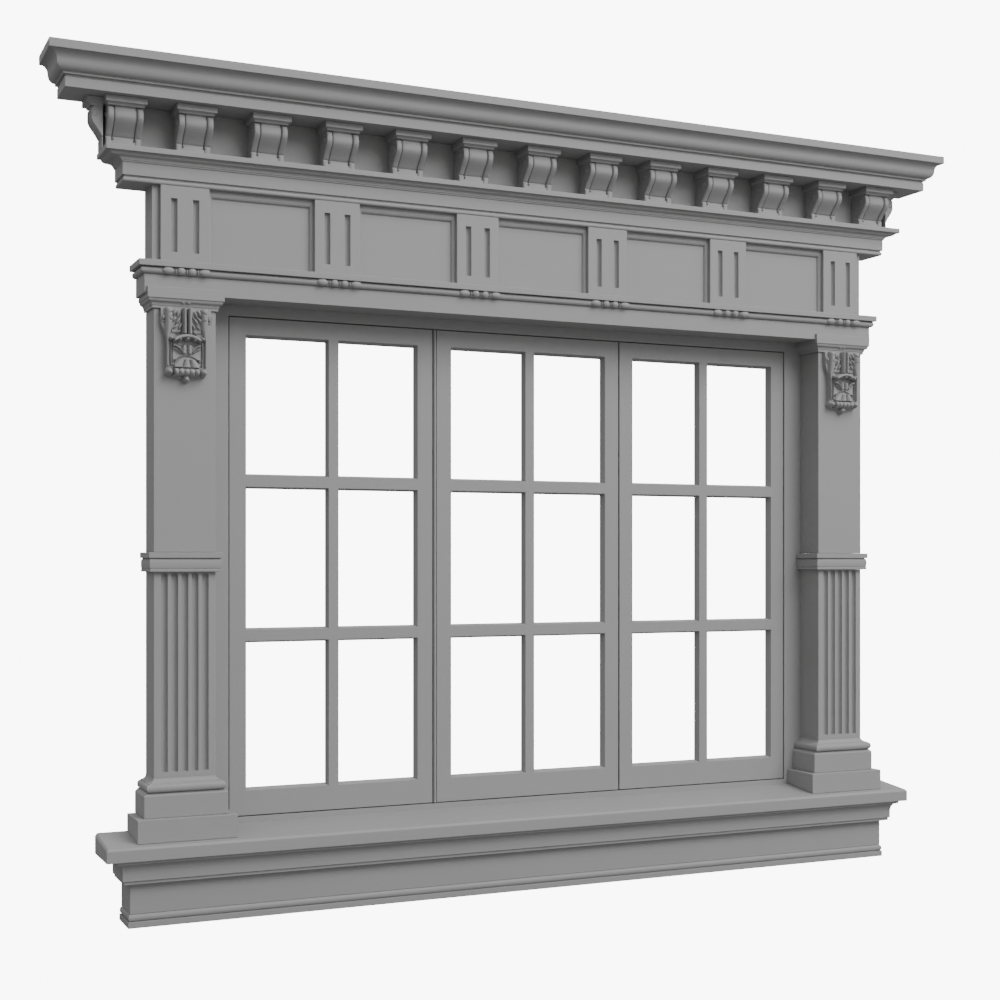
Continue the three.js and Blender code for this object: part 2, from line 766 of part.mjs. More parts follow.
function modillionCourse() {
  return returnedBlock([
    at(courseFront, courseHalf, shelfTop + clearance),
    at(courseFront, courseHalf, coronaFoot),
  ]);
}

// A bracket with its back on the plane y = 0 and its foot at z = 0. Its front is an S: full under
// the cap, hollow above the foot. A rib runs down each edge of the front.
function modillion(bracket) {
  const { width, capFront, bellyFront, footFront, footHeight, sweepTop, throatDepth, ribHeight } = bracket;
  const height = modillionHeight - 2 * clearance;
  const capFoot = height - modillionCapHeight;
  const half = width / 2;
  const throat = footFront - throatDepth;
  const sweepFoot = footHeight + modillionFootEase;
  const reach = (z) => {
    if (z < sweepFoot) return throat + throatDepth * (1 - blend(footHeight, sweepFoot, z));
    return throat + (bellyFront - throat) * blend(sweepFoot, sweepTop, z);
  };
  const rungs = [0, footHeight, footHeight + modillionFootEase / 2];
  for (let i = 0; i <= modillionSweepRungs; i++) {
    rungs.push(sweepFoot + ((sweepTop - sweepFoot) * i) / modillionSweepRungs);
  }
  rungs.push(capFoot + quirk);
  const ribInner = half - modillionRibWidth;
  const fieldHalf = ribInner - modillionRibSlope;
  const body = stackRings(
    rungs.map((z) => {
      const rib = -reach(z);
      const field = rib + ribHeight;
      return [
        [-half, 0, z],
        [-half, rib, z],
        [-ribInner, rib, z],
        [-fieldHalf, field, z],
        [fieldHalf, field, z],
        [ribInner, rib, z],
        [half, rib, z],
        [half, 0, z],
      ];
    }),
  );
  const capHalf = half + modillionCapOverhang;
  const filletFoot = height - modillionCapFillet;
  const cap = returnedBlock([
    at(bellyFront - quirk, half, capFoot),
    ...curve(cavetto, at(bellyFront, half + 1, capFoot + 1), at(capFront - lip, capHalf - lip, filletFoot), 3),
    at(capFront, capHalf, filletFoot),
    at(capFront, capHalf, height),
  ]);
  return join(body, cap);
}

function corona() {
  return returnedBlock([
    at(coronaFront, coronaHalf, coronaFoot + clearance),
    at(coronaFront, coronaHalf, crownFoot),
  ]);
}

function crownMoulding() {
  const filletFoot = crownFoot + crownCoveHeight;
  const cymaFoot = filletFoot + crownFilletHeight;
  const topFoot = cymaFoot + crownCymaHeight;
  const filletFront = coronaFront + crownFilletStep;
  const filletHalf = coronaHalf + crownFilletStep;
  const outer = at(coronaFront + crownReach - crownTopStep, coronaHalf + crownReach - crownTopStep, topFoot);
  return returnedBlock([
    at(coronaFront - quirk, coronaHalf - quirk, crownFoot + clearance),
    at(coronaFront - quirk, coronaHalf - quirk, filletFoot),
    at(filletFront, filletHalf, filletFoot),
    at(filletFront, filletHalf, cymaFoot),
    ...curve(cymaRecta, at(filletFront + quirk, filletHalf + quirk, cymaFoot), outer, crownSteps),
    at(coronaFront + crownReach, coronaHalf + crownReach, topFoot),
    at(coronaFront + crownReach, coronaHalf + crownReach, crownTop),
  ]);
}

// The whole object

const surround = new THREE.Group();

function place(name, geometry, x = 0, y = 0, z = 0, turn = 0) {
  const mesh = new THREE.Mesh(geometry, new THREE.MeshStandardMaterial(paint));
  mesh.name = name;
  mesh.position.set(x, y, z);
  mesh.rotation.z = turn;
  surround.add(mesh);
}

place('apron_board', apronBoard());
place('apron_foot_moulding', apronFootMoulding());
place('under_sill_moulding', underSill());
place('sill', sill());

place('window_frame', windowFrame());
const leftSashX = -sashesWidth / 2 + sashGap;
const middleSashX = leftSashX + sashWidth + beadSpace;
const rightSashX = middleSashX + sashWidth + meetingGap;
place('sash_left', sash(), leftSashX, 0, sashFoot);
place('sash_middle', sash(), middleSashX, 0, sashFoot);
place('sash_right', sash(), rightSashX, 0, sashFoot);
place('mullion_bead', mullionBead(), middleSashX - beadSpace / 2, 0, sashFoot);

for (const [side, x] of [['left', -pilasterX], ['right', pilasterX]]) {
  place(`lower_plinth_${side}`, lowerPlinth(), x);
  place(`upper_plinth_${side}`, upperPlinth(), x);
  place(`base_moulding_${side}`, baseMoulding(), x);
  place(`fluted_shaft_${side}`, lowerShaft(), x);
  place(`shaft_band_${side}`, shaftBand(), x);
  place(`upper_shaft_${side}`, shaft(upperShaftFoot + clearance, capitalFoot), x);
  place(`capital_${side}`, capital(), x);
  place(`acanthus_corbel_${side}`, corbel(), x);
}

place('architrave', architrave());
place('taenia_moulding', taeniaMoulding());
place('frieze', frieze());
for (let i = 0; i < triglyphCount; i++) place(`triglyph_${i + 1}`, triglyph(), triglyphX(i));
place('bed_moulding', bedMoulding());
place('modillion_course', modillionCourse());

const lastModillionX = courseHalf - modillionWidth / 2 - modillionCapOverhang;
const innerReach = lastModillionX - modillionOuterGap;
const innerPitch = (2 * innerReach) / (modillionCount - 3);
const modillionZ = shelfTop + clearance;
for (let i = 0; i < modillionCount; i++) {
  const inner = -innerReach + (i - 1) * innerPitch;
  const x = i === 0 ? -lastModillionX : i === modillionCount - 1 ? lastModillionX : inner;
  place(`modillion_${i + 1}`, modillion(frontBracket), x, -courseFront - clearance, modillionZ);
}
const sideX = courseHalf + clearance;
const sideY = -clearance - modillionCapOverhang - sideModillionWidth / 2;
place('side_modillion_left', modillion(sideBracket), -sideX, sideY, modillionZ, -quarter);
place('side_modillion_right', modillion(sideBracket), sideX, sideY, modillionZ, quarter);

place('corona', corona());
place('crown_moulding', crownMoulding());

export default surround;
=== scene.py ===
import math

import bpy
import numpy as np
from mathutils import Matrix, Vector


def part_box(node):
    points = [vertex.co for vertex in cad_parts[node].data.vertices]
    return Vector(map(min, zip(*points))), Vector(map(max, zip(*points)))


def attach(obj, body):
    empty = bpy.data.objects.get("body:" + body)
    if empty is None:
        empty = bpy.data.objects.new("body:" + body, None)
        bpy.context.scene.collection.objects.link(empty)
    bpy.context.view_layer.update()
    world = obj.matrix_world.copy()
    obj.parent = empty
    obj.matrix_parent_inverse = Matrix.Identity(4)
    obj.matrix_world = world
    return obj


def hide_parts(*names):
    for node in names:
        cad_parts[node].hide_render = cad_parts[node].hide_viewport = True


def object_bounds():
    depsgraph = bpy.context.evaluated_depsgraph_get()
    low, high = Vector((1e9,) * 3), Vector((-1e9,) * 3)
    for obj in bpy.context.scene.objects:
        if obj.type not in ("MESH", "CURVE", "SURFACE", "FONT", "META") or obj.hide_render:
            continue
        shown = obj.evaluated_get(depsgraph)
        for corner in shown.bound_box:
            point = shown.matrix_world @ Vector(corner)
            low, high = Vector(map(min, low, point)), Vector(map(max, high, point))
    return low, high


# A painted window surround: softened mouldings, sashes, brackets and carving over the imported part.
# Sizes here are millimetres. x runs to the right, z up, and "front" is the distance from the wall.

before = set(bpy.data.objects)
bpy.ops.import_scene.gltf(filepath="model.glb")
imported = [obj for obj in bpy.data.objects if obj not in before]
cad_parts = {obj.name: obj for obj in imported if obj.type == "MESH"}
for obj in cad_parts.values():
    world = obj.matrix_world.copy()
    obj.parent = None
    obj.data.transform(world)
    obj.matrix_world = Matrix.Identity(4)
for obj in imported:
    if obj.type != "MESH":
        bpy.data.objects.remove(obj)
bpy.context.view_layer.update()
mm = 0.001
print("frame loaded:", len(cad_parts), "nodes")


# the paint

paintLook = {
    "colour": 0.30,
    "shadeSpread": 0.035,
    "cloudSize": 4.5,
    "roughness": 0.62,
    "roughnessSpread": 0.10,
    "brushBump": 0.10,
    "brushDepth": 0.0012,
    "brushScale": 60.0,
    "grainBump": 0.05,
    "grainDepth": 0.0004,
    "grainScale": 900.0,
}


def addNode(tree, kind, **values):
    node = tree.nodes.new(kind)
    for key, value in values.items():
        if key in node.inputs:
            node.inputs[key].default_value = value
        else:
            setattr(node, key, value)
    return node


# Painted wood: the base grey times one plus a slow cloud, gloss that follows a finer cloud, and a bump
# of brush marks stretched along the piece's length plus a fine grain.
def paintMaterial(name, stretch, look=paintLook):
    material = bpy.data.materials.new(name)
    material.use_nodes = True
    tree = material.node_tree
    shader = tree.nodes["Principled BSDF"]
    place = addNode(tree, "ShaderNodeTexCoord")
    brush = addNode(tree, "ShaderNodeMapping")
    brush.inputs["Scale"].default_value = stretch
    tree.links.new(place.outputs["Object"], brush.inputs["Vector"])

    cloud = addNode(tree, "ShaderNodeTexNoise", Scale=look["cloudSize"], Detail=4.0, Roughness=0.6)
    tree.links.new(place.outputs["Object"], cloud.inputs["Vector"])
    shade = addNode(tree, "ShaderNodeMapRange")
    shade.inputs["To Min"].default_value = look["colour"] * (1 - look["shadeSpread"])
    shade.inputs["To Max"].default_value = look["colour"] * (1 + look["shadeSpread"])
    tree.links.new(cloud.outputs["Fac"], shade.inputs["Value"])
    grey = addNode(tree, "ShaderNodeCombineColor")
    for channel in ("Red", "Green", "Blue"):
        tree.links.new(shade.outputs["Result"], grey.inputs[channel])
    tree.links.new(grey.outputs["Color"], shader.inputs["Base Color"])

    strokes = addNode(tree, "ShaderNodeTexNoise", Scale=look["brushScale"], Detail=3.0, Roughness=0.55)
    tree.links.new(brush.outputs["Vector"], strokes.inputs["Vector"])
    gloss = addNode(tree, "ShaderNodeMapRange")
    gloss.inputs["To Min"].default_value = look["roughness"] - look["roughnessSpread"]
    gloss.inputs["To Max"].default_value = look["roughness"] + look["roughnessSpread"]
    tree.links.new(strokes.outputs["Fac"], gloss.inputs["Value"])
    tree.links.new(gloss.outputs["Result"], shader.inputs["Roughness"])

    grain = addNode(tree, "ShaderNodeTexNoise", Scale=look["grainScale"], Detail=2.0)
    tree.links.new(place.outputs["Object"], grain.inputs["Vector"])
    brushBump = addNode(tree, "ShaderNodeBump", Strength=look["brushBump"], Distance=look["brushDepth"])
    tree.links.new(strokes.outputs["Fac"], brushBump.inputs["Height"])
    grainBump = addNode(tree, "ShaderNodeBump", Strength=look["grainBump"], Distance=look["grainDepth"])
    tree.links.new(grain.outputs["Fac"], grainBump.inputs["Height"])
    tree.links.new(brushBump.outputs["Normal"], grainBump.inputs["Normal"])
    tree.links.new(grainBump.outputs["Normal"], shader.inputs["Normal"])
    return material


paint = {
    "across": paintMaterial("paint_brushed_across", (0.06, 1.0, 1.0)),
    "upright": paintMaterial("paint_brushed_upright", (1.0, 1.0, 0.06)),
    "carving": paintMaterial("paint_on_carving", (1.0, 1.0, 1.0)),
}
print("paints made")


# shared shapes

quarterTurn = math.pi / 2
seatGap = 0.3

# Each curve gives shares out and up for t from 0 to 1. Cavetto: a quarter circle, hollow. Ovolo: a
# quarter circle, full. The cymas join one half of each. Torus: a half circle that comes back.
def cavetto(t):
    return 1 - np.cos(t * quarterTurn), np.sin(t * quarterTurn)


def ovolo(t):
    return np.sin(t * quarterTurn), 1 - np.cos(t * quarterTurn)


def cyma(lower, upper, t):
    lowOut, lowUp = lower(np.clip(2 * t, 0, 1))
    highOut, highUp = upper(np.clip(2 * t - 1, 0, 1))
    return (lowOut + highOut) / 2, (lowUp + highUp) / 2


def curveShares(shape, t):
    if shape == "line":
        return t, t
    if shape == "cavetto":
        return cavetto(t)
    if shape == "ovolo":
        return ovolo(t)
    if shape == "cymaRecta":
        return cyma(ovolo, cavetto, t)
    if shape == "cymaReversa":
        return cyma(cavetto, ovolo, t)
    return np.sin(t * math.pi), (1 - np.cos(t * math.pi)) / 2


# A moulding's profile from its list of (shape, out, up), where one up may be None for what is left of
# the height, and a fourth value is the way out at the ends where that differs. It gives points (front
# step, end step, z), with step 0 at the moulding's farthest reach.
def profileOf(recipe, foot, top):
    rest = (top - foot) - sum(entry[2] for entry in recipe if entry[2] is not None)
    points = [np.array([[0.0, 0.0, foot]])]
    for shape, out, up, *sideways in recipe:
        height = rest if up is None else up
        sideOut = sideways[0] if sideways else out
        t = np.linspace(0, 1, 2 if shape == "line" else 13)[1:]
        outShare, upShare = curveShares(shape, t)
        steps = np.column_stack((outShare * out, outShare * sideOut, upShare * height))
        points.append(points[-1][-1] + steps)
    profile = np.vstack(points)
    profile[:, :2] -= profile[:, :2].max(0)
    return profile


# Rounds every corner of a stack of rings along the stack: the corner point becomes a short parabola
# between points one radius before and after it. Works on an array (rings, points, 3).
def softened(rings, radius, closed=False, cuts=3):
    before = np.roll(rings, 1, 0) - rings
    after = np.roll(rings, -1, 0) - rings
    lengthBefore = np.maximum(np.linalg.norm(before, axis=-1, keepdims=True), 1e-9)
    lengthAfter = np.maximum(np.linalg.norm(after, axis=-1, keepdims=True), 1e-9)
    start = rings + before / lengthBefore * np.minimum(radius, lengthBefore * 0.45)
    end = rings + after / lengthAfter * np.minimum(radius, lengthAfter * 0.45)
    t = np.linspace(0, 1, cuts + 1)[None, :, None, None]
    arcs = (1 - t) ** 2 * start[:, None] + 2 * t * (1 - t) * rings[:, None] + t**2 * end[:, None]
    if closed:
        return arcs.reshape(-1, *rings.shape[1:])
    inner = arcs[1:-1].reshape(-1, *rings.shape[1:])
    return np.concatenate((rings[:1], inner, rings[-1:]))


def extent(node):
    low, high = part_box(node)
    return {
        "middle": (low.x + high.x) / 2 / mm,
        "half": (high.x - low.x) / 2 / mm,
        "front": -low.y / mm,
        "back": -high.y / mm,
        "foot": low.z / mm,
        "top": high.z / mm,
    }


# Quads between neighbouring rows and columns of a grid, with the last column or row joined to the first
# where it wraps.
def gridFaces(rows, columns, wrapRows=False, wrapColumns=False):
    i = np.arange(rows if wrapRows else rows - 1)[:, None]
    j = np.arange(columns if wrapColumns else columns - 1)[None, :]
    nextI = (i + 1) % rows
    nextJ = (j + 1) % columns
    corners = (i * columns + j, i * columns + nextJ, nextI * columns + nextJ, nextI * columns + j)
    return np.stack(corners, -1).reshape(-1, 4)


def joinShells(shells):
    points, faces, start = [], [], 0
    for shellPoints, shellFaces in shells:
        points.append(shellPoints)
        faces += [[start + k for k in face] for face in shellFaces]
        start += len(shellPoints)
    return np.vstack(points), faces


# A stack of closed rings, anticlockwise as seen from its last ring, with both ends capped.
def shellOf(rings):
    rows, columns = rings.shape[:2]
    faces = gridFaces(rows, columns, wrapColumns=True).tolist()
    faces.append(list(range(columns))[::-1])
    faces.append([(rows - 1) * columns + k for k in range(columns)])
    return rings.reshape(-1, 3), faces


# Puts a piece in from its shells. Edges that turn by more than the crease angle are shaded sharp.
def addPiece(name, shells, material, nodes, creaseAngle=50):
    points, faces = joinShells(shells)
    mesh = bpy.data.meshes.new(name)
    mesh.from_pydata((points * mm).tolist(), [], faces)
    mesh.update()
    mesh.shade_smooth()
    mesh.set_sharp_from_angle(angle=math.radians(creaseAngle))
    mesh.materials.append(paint[material])
    piece = bpy.data.objects.new(name, mesh)
    bpy.context.scene.collection.objects.link(piece)
    weights = piece.modifiers.new("even shading", "WEIGHTED_NORMAL")
    weights.keep_sharp = True
    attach(piece, "root")
    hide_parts(*nodes)


# A moulding returned round both ends: each profile point becomes a ring left, front and right of a
# block against the wall, with rounded outer corners.
def mouldingRings(profile, size, cornerRadius=1.5, capInset=6, backFoot=None, backTop=None):
    inset = np.array([[-capInset, -capInset, 0.0]])
    levels = np.vstack((profile[:1] + inset, profile, profile[-1:] + inset))
    front, half, z = size["front"] + levels[:, :1], size["half"] + levels[:, 1:2], levels[:, 2:]
    turn = np.linspace(0, quarterTurn, 5)[None, :]
    outX = half - cornerRadius + cornerRadius * np.sin(turn)
    outY = front - cornerRadius + cornerRadius * np.cos(turn)
    x = np.hstack((-half, -outX[:, ::-1], outX, half))
    y = -np.hstack((np.zeros_like(half), outY[:, ::-1], outY, np.zeros_like(half)))
    share = (z - z[0]) / (z[-1] - z[0])
    low = z[0] if backFoot is None else backFoot
    high = z[-1] if backTop is None else backTop
    back = low + share * (high - low)
    heights = np.hstack((back, np.repeat(z, outX.shape[1] * 2, 1), back))
    return np.stack((x + size["middle"], y, heights), -1)


def addMoulding(node, recipe, material="across", softening=1.6, **options):
    size = extent(node)
    profile = profileOf(recipe, size["foot"], size["top"])
    rings = softened(mouldingRings(profile, size, **options), softening)
    addPiece(node + "_dressed", [shellOf(rings)], material, [node])


# A turned form about an axis through a place: profile rows are (along, radius), from its low end up.
def turned(profile, place, axis="x", sides=28):
    profile = np.asarray(profile, float)
    angle = np.linspace(0, 2 * math.pi, sides, endpoint=False)[None, :]
    first, second = profile[:, 1:] * np.cos(angle), profile[:, 1:] * np.sin(angle)
    along = np.broadcast_to(profile[:, :1], first.shape)
    order = {"x": (along, first, second), "y": (second, along, first), "z": (first, second, along)}[axis]
    return shellOf(np.stack(order, -1) + np.array(place))


poleGap = 0.04


# The rows of an egg-shaped profile: a half circle in the radius over a stretch of the axis. It stops a
# small angle short of each pole, where a flat cap closes it.
def eggProfile(centre, halfLength, radius, rows=13):
    angle = np.linspace(poleGap, math.pi - poleGap, rows)
    return np.column_stack((centre - halfLength * np.cos(angle), radius * np.sin(angle)))


def ball(place, radius):
    return turned(eggProfile(0, radius, radius), place, "z", 24)


# A block whose front is a field of depths behind its face: y over a grid of columns and rows. The sides
# run straight back and the back is flat. x, z and front are arrays (rows, columns), rows from the foot.
def fieldShell(x, z, front, back):
    rows, columns = x.shape
    points = np.stack((x, -front, z), -1).reshape(-1, 3)
    faces = gridFaces(rows, columns).tolist()
    index = np.arange(rows * columns).reshape(rows, columns)
    rim = np.concatenate((index[0, :], index[1:, -1], index[-1, -2::-1], index[-2:0:-1, 0]))
    rimBack = points[rim].copy()
    rimBack[:, 1] = -back
    start = len(points)
    count = len(rim)
    here = np.arange(count)
    after = (here + 1) % count
    sides = np.stack((rim[after], rim[here], start + here, start + after), -1)
    faces += sides.tolist()
    faces.append([start + k for k in range(count)][::-1])
    return np.vstack((points, rimBack)), faces


# The height of a round ridge: 1 on its line, falling as a half circle to 0 at its half width.
def ridge(distance, halfWidth):
    return np.sqrt(np.clip(1 - (distance / halfWidth) ** 2, 0, 1))


def bump(x, centre, width):
    return np.exp(-(((x - centre) / width) ** 2))


def blend(low, high, x):
    t = np.clip((x - low) / (high - low), 0, 1)
    return t * t * (3 - 2 * t)


# 1 between low and high, easing to 0 within a few millimetres inside them.
def between(x, low, high, soft=3):
    return blend(low, low + soft, x) * (1 - blend(high - soft, high, x))


# How far a rounded arris of this radius falls back at a distance from the edge: a quarter circle.
def edgeFall(distance, radius):
    near = np.clip(radius - distance, 0, radius)
    return radius - np.sqrt(radius**2 - near**2)


def stops(*parts):
    return np.unique(np.round(np.concatenate([np.atleast_1d(part) for part in parts]), 4))


def edgeStops(low, high, radius):
    near = radius * np.array([0, 0.1, 0.3, 0.6, 1.0])
    return np.concatenate((low + near, high - near))


# sill and apron

sillLook = {
    "apron": [("line", 0, None)],
    "apronFoot": [("line", 0, 18), ("line", -8, 0), ("torus", 7, None)],
    "underSill": [
        ("line", 0, 9.7), ("line", 5, 0), ("line", 0, 22), ("cavetto", 16, None), ("line", 4, 0),
        ("line", 0, 8),
    ],
    "noseFace": 34,
    "noseBevel": 6,
    "nose": 2.5,
}
sillSize = extent("sill")
noseRise = sillLook["noseFace"] + sillLook["noseBevel"]
sillFrontTop = sillSize["foot"] + noseRise
addMoulding("apron_board", sillLook["apron"])
addMoulding("apron_foot_moulding", sillLook["apronFoot"])
addMoulding("under_sill_moulding", sillLook["underSill"])
nose = [("line", 0, sillLook["noseFace"]), ("line", -sillLook["noseBevel"], None)]
sillProfile = profileOf(nose, sillSize["foot"], sillFrontTop)
sillRings = mouldingRings(sillProfile, sillSize, backTop=sillSize["top"])
addPiece("sill_dressed", [shellOf(softened(sillRings, sillLook["nose"]))], "across", ["sill"])
print("sill and apron made")


# window frame and sashes

frameLook = {"softening": 2.0, "lap": 20, "casing": 65, "head": 31, "foot": 16}
sashLook = {
    "stile": 56,
    "topRail": 57,
    "bottomRail": 80,
    "bar": (41, 43.5),
    "panes": (426, 410),
    "sashChamfer": 7,
    "barChamfer": 5,
    "chamferDepth": 20,
    "rebate": (5, 11),
    "softening": 1.2,
    "arris": 1.5,
}
mullionLook = {"flatDepth": 34, "roundPoints": 17}


# A rectangle's four corners in x and z at depth y.
def rectangle(x0, z0, x1, z1, y):
    return np.array([[x0, y, z0], [x1, y, z0], [x1, y, z1], [x0, y, z1]])


# The window frame: a rectangular section with softened edges, carried round the opening.
def addWindowFrame(look=frameLook):
    size = extent("window_frame")
    x0, x1 = size["middle"] - size["half"], size["middle"] + size["half"]
    z0, z1 = size["foot"], size["top"]
    lap = look["lap"]
    side, foot, head = look["casing"] + lap, look["foot"] + lap, look["head"] + lap
    front, back = -size["front"], -size["back"]
    inner = (x0 + side, z0 + foot, x1 - side, z1 - head)
    rings = np.stack(
        (
            rectangle(*inner, front),
            rectangle(*inner, back),
            rectangle(x0, z0, x1, z1, back),
            rectangle(x0, z0, x1, z1, front),
        )
    )
    rings = softened(rings, look["softening"], closed=True)
    rows, columns = rings.shape[:2]
    faces = gridFaces(rows, columns, True, True).tolist()
    addPiece("window_frame_dressed", [(rings.reshape(-1, 3), faces)], "upright", ["window_frame"])


# One sash is six cells, each a profile carried round a pane: the face, the chamfer, the straight edge
# and the rebate behind. The cells and the softened outer edge are welded where their points meet.
def sashShell(size, look=sashLook):
    x0, x1 = size["middle"] - size["half"], size["middle"] + size["half"]
    front, back = -size["front"], -size["back"]
    barX, barZ = look["bar"]
    bottomPane, middlePane = look["panes"]
    arris = look["arris"]
    columnsAt = [x0, (x0 + x1) / 2, x1]
    firstBar = size["foot"] + look["bottomRail"] + bottomPane + barZ / 2
    rowsAt = [size["foot"], firstBar, firstBar + barZ + middlePane, size["top"]]
    patches = []
    for column in (0, 1):
        for row in (0, 1, 2):
            left, right = column == 0, column == 1
            foot, top = row == 0, row == 2
            px0 = columnsAt[column] + (look["stile"] if left else barX / 2)
            px1 = columnsAt[column + 1] - (look["stile"] if right else barX / 2)
            pz0 = rowsAt[row] + (look["bottomRail"] if foot else barZ / 2)
            pz1 = rowsAt[row + 1] - (look["topRail"] if top else barZ / 2)
            wide, narrow = look["sashChamfer"], look["barChamfer"]
            chamfer = [wide if edge else narrow for edge in (left, foot, right, top)]
            cell = (
                columnsAt[column] + arris * left,
                rowsAt[row] + arris * foot,
                columnsAt[column + 1] - arris * right,
                rowsAt[row + 1] - arris * top,
            )
            rebateWidth, rebateDepth = look["rebate"]
            rebate = (px0 - rebateWidth, pz0 - rebateWidth, px1 + rebateWidth, pz1 + rebateWidth)
            faceEdge = (px0 - chamfer[0], pz0 - chamfer[1], px1 + chamfer[2], pz1 + chamfer[3])
            pane = (px0, pz0, px1, pz1)
            rings = np.stack(
                (
                    rectangle(*cell, front),
                    rectangle(*faceEdge, front),
                    rectangle(*pane, front + look["chamferDepth"]),
                    rectangle(*pane, back - rebateDepth),
                    rectangle(*rebate, back - rebateDepth),
                    rectangle(*rebate, back),
                    rectangle(*cell, back),
                )
            )
            rings = softened(rings, look["softening"])
            faces = gridFaces(rings.shape[0], 4, wrapColumns=True)
            patches.append((rings.reshape(-1, 3), faces))
    edge = [(0, 0), (1, 0), (2, 0), (2, 1), (2, 2), (2, 3), (1, 3), (0, 3), (0, 2), (0, 1)]
    xz = np.array([(columnsAt[i], rowsAt[j]) for i, j in edge])
    inward = np.array([(1 - i, (j == 0) - (j == 3)) for i, j in edge]) * arris
    walls = [(inward, front), (0 * inward, front), (0 * inward, back), (inward, back)]
    rings = np.stack(
        [np.column_stack((xz[:, 0] + d[:, 0], np.full(10, y), xz[:, 1] + d[:, 1])) for d, y in walls]
    )
    rings = softened(rings, arris)
    faces = gridFaces(rings.shape[0], 10, wrapColumns=True)[:, ::-1]
    patches.append((rings.reshape(-1, 3), faces))
    points, allFaces, start = [], [], 0
    for patchPoints, patchFaces in patches:
        points.append(patchPoints)
        allFaces.append(patchFaces + start)
        start += len(patchPoints)
    _, first, inverse = np.unique(
        np.round(np.vstack(points), 3), axis=0, return_index=True, return_inverse=True
    )
    welded = inverse.reshape(-1)[np.vstack(allFaces)]
    return np.vstack(points)[first], welded.tolist()


# The mullion's cover strip: flat sides, and a half round over them.
def addMullionBead(look=mullionLook):
    size = extent("mullion_bead")
    turn = np.linspace(0, math.pi, look["roundPoints"])
    reach = size["front"] - size["back"] - look["flatDepth"]
    x = size["middle"] - size["half"] * np.cos(turn)
    y = -(size["front"] - reach) - reach * np.sin(turn)
    x = np.concatenate(([x[0]], x, [x[-1]]))
    y = np.concatenate(([-size["back"]], y, [-size["back"]]))
    levels = [np.column_stack((x, y, np.full(len(x), z))) for z in (size["foot"], size["top"])]
    addPiece("mullion_bead_dressed", [shellOf(np.stack(levels))], "upright", ["mullion_bead"])


addWindowFrame()
for sash in ("sash_left", "sash_middle", "sash_right"):
    addPiece(sash + "_dressed", [sashShell(extent(sash))], "upright", [sash])
addMullionBead()
print("window frame and sashes made")


# pilasters

pilasterLook = {
    "plinthBevel": 9,
    "base": [("torus", 7, 21.7), ("line", -2, 0), ("line", 0, 2.5), ("ovolo", -16, None)],
    "band": [
        ("line", 0, 7.7), ("line", -2, 0), ("torus", 2.5, 28), ("line", -2, 0), ("line", 0, 3),
        ("line", 7, 0), ("line", 0, None),
    ],
    "capital": [
        ("line", 0, 7.7), ("line", 2, 0), ("cymaReversa", 10, 19), ("line", 3, 0), ("line", 0, None),
    ],
    "capitalLip": 10,
    "capitalRise": 8,
    "capitalBall": {"radius": 7, "apart": 8, "height": 20, "behind": 11},
    "softening": 2.0,
}
fluteLook = {
    "count": 5, "pitch": 29, "width": 19, "depth": 12, "topMargin": 3, "footMargin": 14.5, "arris": 2,
    "topRound": 8,
}


# Flutes: the depth is a half circle across each flute. It stops flat at the foot and runs out in a
# round at the top. The shaft's own arrises are rounded.
def addFlutedShaft(node, look=fluteLook):
    size = extent(node)
    x0, x1 = size["middle"] - size["half"], size["middle"] + size["half"]
    centres = size["middle"] + (np.arange(look["count"]) - (look["count"] - 1) / 2) * look["pitch"]
    across = look["width"] / 2 * np.sin(np.linspace(-quarterTurn, quarterTurn, 15))
    columns = stops(edgeStops(x0, x1, look["arris"]), (centres[:, None] + across[None, :]).ravel())
    low, high = size["foot"] + look["footMargin"], size["top"] - look["topMargin"]
    footRun = np.array([0, 0.5, 1.0])
    topRun = look["topRound"] * (1 - np.cos(np.linspace(0, quarterTurn, 8)))
    rows = stops([size["foot"], size["top"]], low + footRun, high - topRun)
    x, z = np.meshgrid(columns, rows)
    away = np.min(np.abs(x[..., None] - centres), -1) / (look["width"] / 2)
    inTop = np.clip((z - high + look["topRound"]) / look["topRound"], 0, 1)
    hollow = np.sqrt(np.clip(1 - away**2 - inTop**2, 0, 1)) * look["depth"]
    inside = np.clip((z - low) / 0.5, 0, 1)
    front = size["front"] - hollow * inside - edgeFall(np.minimum(x - x0, x1 - x), look["arris"])
    addPiece(node + "_dressed", [fieldShell(x, z, front, 0)], "upright", [node])


# The capital's moulding stops at the architrave's foot, and its fillet goes on up in front of the
# architrave. Two small balls sit on the middle of its curve.
def addCapital(node, look=pilasterLook):
    size = extent(node)
    architrave = extent("architrave")
    seat = size["top"] - look["capitalLip"] - seatGap
    profile = profileOf(look["capital"], size["foot"], seat)
    block = softened(mouldingRings(profile, size, capInset=1), 1.6)
    lipBack = architrave["front"] + seatGap
    depth, half = size["front"], size["half"]
    middle = size["middle"]
    corner = np.array([[-half, lipBack], [-half, depth], [half, depth], [half, lipBack]])
    lipTop = size["top"] + look["capitalRise"]
    levels = [(0, seat), (0, lipTop), (2, lipTop)]
    rings = [
        np.column_stack((middle + corner[:, 0], step - corner[:, 1], np.full(4, z)))
        for step, z in levels
    ]
    lip = softened(np.stack(rings), 1.4)
    small = look["capitalBall"]
    balls = [
        ball((middle + apart, small["behind"] - depth, size["foot"] + small["height"]), small["radius"])
        for apart in (-small["apart"], small["apart"])
    ]
    addPiece(node + "_dressed", [shellOf(block), shellOf(lip), *balls], "across", [node])


